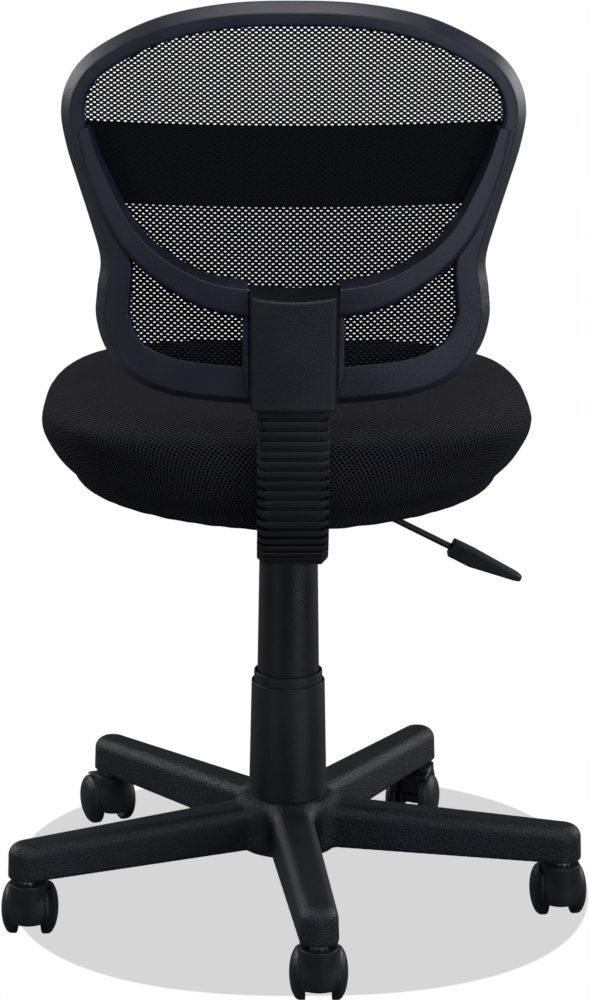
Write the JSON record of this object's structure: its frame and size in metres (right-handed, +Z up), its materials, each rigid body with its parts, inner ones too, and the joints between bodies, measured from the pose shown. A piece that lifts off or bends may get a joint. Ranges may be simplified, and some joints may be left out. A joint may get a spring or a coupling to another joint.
{
  "type": "swivel office chair",
  "caption": "Armless swivel task chair: five-arm base on twin-wheel casters, gas lift, upholstered seat, curved open-mesh back on a J-shaped bar.",
  "frame": {"origin": "on the floor, on the swivel axis", "axes": "+Z up along the swivel axis; the sitter faces -Y and the back is at +Y; -X is the sitter's right"},
  "size_m": [0.5675, 0.5405, 0.914],
  "materials": {
    "base_nylon": "satin",
    "caster_nylon": "satin",
    "cover_plastic": "satin",
    "frame_plastic": "satin",
    "bellows_plastic": "matte",
    "black_steel": "satin",
    "plated_steel": "satin",
    "bush_plastic": "satin",
    "seat_fabric": "matte",
    "mesh_fabric": "matte",
    "band_fabric": "matte",
    "dust_cloth": "matte",
    "seat_foam": "matte",
    "plywood": "matte"
  },
  "bodies": {
    "base": {"star_base": "base_nylon", "gas_outer_tube": "black_steel", "gas_guide_bush": "bush_plastic", "gas_thrust_bearing": "plated_steel", "cover_lower": "cover_plastic"},
    "spindle": {"gas_piston_rod": "plated_steel", "gas_clip": "plated_steel"},
    "middle_cover": {"cover_middle": "cover_plastic"},
    "seat": {"gas_cylinder": "black_steel", "cover_upper": "cover_plastic", "seat_mechanism": "black_steel", "taper_socket": "black_steel", "seat_dust_cover": "dust_cloth", "seat_pan": "plywood", "seat_tee_nuts": "plated_steel", "seat_bolts": "plated_steel", "seat_foam": "seat_foam", "seat_cover": "seat_fabric", "back_bar": "black_steel", "bar_bolts": "plated_steel", "bar_cover": "bellows_plastic", "back_housing": "frame_plastic", "back_bolts": "plated_steel", "back_frame": "frame_plastic", "back_mesh": "mesh_fabric", "back_band": "band_fabric", "mesh_cord": "band_fabric"},
    "lever": {"lever_rod": "black_steel", "lever_handle": "cover_plastic"},
    "valve": {"gas_valve_pin": "plated_steel"},
    "caster_1": {"caster_stem_1": "plated_steel", "caster_hood_1": "caster_nylon", "caster_axle_1": "plated_steel"},
    "left_wheel_1": {"wheel_left_1": "caster_nylon"},
    "right_wheel_1": {"wheel_right_1": "caster_nylon"},
    "caster_2": {"caster_stem_2": "plated_steel", "caster_hood_2": "caster_nylon", "caster_axle_2": "plated_steel"},
    "left_wheel_2": {"wheel_left_2": "caster_nylon"},
    "right_wheel_2": {"wheel_right_2": "caster_nylon"},
    "caster_3": {"caster_stem_3": "plated_steel", "caster_hood_3": "caster_nylon", "caster_axle_3": "plated_steel"},
    "left_wheel_3": {"wheel_left_3": "caster_nylon"},
    "right_wheel_3": {"wheel_right_3": "caster_nylon"},
    "caster_4": {"caster_stem_4": "plated_steel", "caster_hood_4": "caster_nylon", "caster_axle_4": "plated_steel"},
    "left_wheel_4": {"wheel_left_4": "caster_nylon"},
    "right_wheel_4": {"wheel_right_4": "caster_nylon"},
    "caster_5": {"caster_stem_5": "plated_steel", "caster_hood_5": "caster_nylon", "caster_axle_5": "plated_steel"},
    "left_wheel_5": {"wheel_left_5": "caster_nylon"},
    "right_wheel_5": {"wheel_right_5": "caster_nylon"}
  },
  "joints": [
    {"name": "seat_swivel", "type": "hinge", "parent": "base", "child": "spindle", "pos_m": [0, 0, 0.05], "axis": [0, 0, 1], "continuous": true},
    {"name": "seat_lift", "type": "slide", "parent": "spindle", "child": "seat", "axis": [0, 0, 1], "range_m": [-0.1, 0.012]},
    {"name": "middle_cover_slide", "type": "slide", "parent": "spindle", "child": "middle_cover", "axis": [0, 0, 1], "range_m": [-0.0105, 0.002]},
    {"name": "lever_lift", "type": "hinge", "parent": "seat", "child": "lever", "pos_m": [-0.0375, 0, 0.4165], "axis": [0, 1, 0], "range_deg": [0, 6], "stiffness_Nm_per_rad": 0.5},
    {"name": "valve_press", "type": "slide", "parent": "seat", "child": "valve", "axis": [0, 0, 1], "range_m": [-0.005, 0]},
    {"name": "caster_swivel_1", "type": "hinge", "parent": "base", "child": "caster_1", "pos_m": [-0.02465, 0.27088, 0.07], "axis": [0, 0, 1], "continuous": true},
    {"name": "left_wheel_spin_1", "type": "hinge", "parent": "caster_1", "child": "left_wheel_1", "pos_m": [-0.02493, 0.25488, 0.0255], "axis": [0.9998, -0.0175, 0], "continuous": true},
    {"name": "right_wheel_spin_1", "type": "hinge", "parent": "caster_1", "child": "right_wheel_1", "pos_m": [-0.02493, 0.25488, 0.0255], "axis": [0.9998, -0.0175, 0], "continuous": true},
    {"name": "caster_swivel_2", "type": "hinge", "parent": "base", "child": "caster_2", "pos_m": [-0.26524, 0.06026, 0.07], "axis": [0, 0, 1], "continuous": true},
    {"name": "left_wheel_spin_2", "type": "hinge", "parent": "caster_2", "child": "left_wheel_2", "pos_m": [-0.26357, 0.04435, 0.0255], "axis": [0.9945, 0.1045, 0], "continuous": true},
    {"name": "right_wheel_spin_2", "type": "hinge", "parent": "caster_2", "child": "right_wheel_2", "pos_m": [-0.26357, 0.04435, 0.0255], "axis": [0.9945, 0.1045, 0], "continuous": true},
    {"name": "caster_swivel_3", "type": "hinge", "parent": "base", "child": "caster_3", "pos_m": [-0.13928, -0.23364, 0.07], "axis": [0, 0, 1], "continuous": true},
    {"name": "left_wheel_spin_3", "type": "hinge", "parent": "caster_3", "child": "left_wheel_3", "pos_m": [-0.13433, -0.21842, 0.0255], "axis": [-0.9511, 0.309, 0], "continuous": true},
    {"name": "right_wheel_spin_3", "type": "hinge", "parent": "caster_3", "child": "right_wheel_3", "pos_m": [-0.13433, -0.21842, 0.0255], "axis": [-0.9511, 0.309, 0], "continuous": true},
    {"name": "caster_swivel_4", "type": "hinge", "parent": "base", "child": "caster_4", "pos_m": [0.17916, -0.20466, 0.07], "axis": [0, 0, 1], "continuous": true},
    {"name": "left_wheel_spin_4", "type": "hinge", "parent": "caster_4", "child": "left_wheel_4", "pos_m": [0.18516, -0.21949, 0.0255], "axis": [0.9272, 0.3746, 0], "continuous": true},
    {"name": "right_wheel_spin_4", "type": "hinge", "parent": "caster_4", "child": "right_wheel_4", "pos_m": [0.18516, -0.21949, 0.0255], "axis": [0.9272, 0.3746, 0], "continuous": true},
    {"name": "caster_swivel_5", "type": "hinge", "parent": "base", "child": "caster_5", "pos_m": [0.25, 0.10715, 0.07], "axis": [0, 0, 1], "continuous": true},
    {"name": "left_wheel_spin_5", "type": "hinge", "parent": "caster_5", "child": "left_wheel_5", "pos_m": [0.24917, 0.09117, 0.0255], "axis": [0.9986, -0.0523, 0], "continuous": true},
    {"name": "right_wheel_spin_5", "type": "hinge", "parent": "caster_5", "child": "right_wheel_5", "pos_m": [0.24917, 0.09117, 0.0255], "axis": [0.9986, -0.0523, 0], "continuous": true}
  ],
  "couplings": [
    {"joint": "middle_cover_slide", "follows": "seat_lift", "ratio": 0.1},
    {"joint": "valve_press", "follows": "lever_lift", "m_per_rad": -0.04}
  ]
}
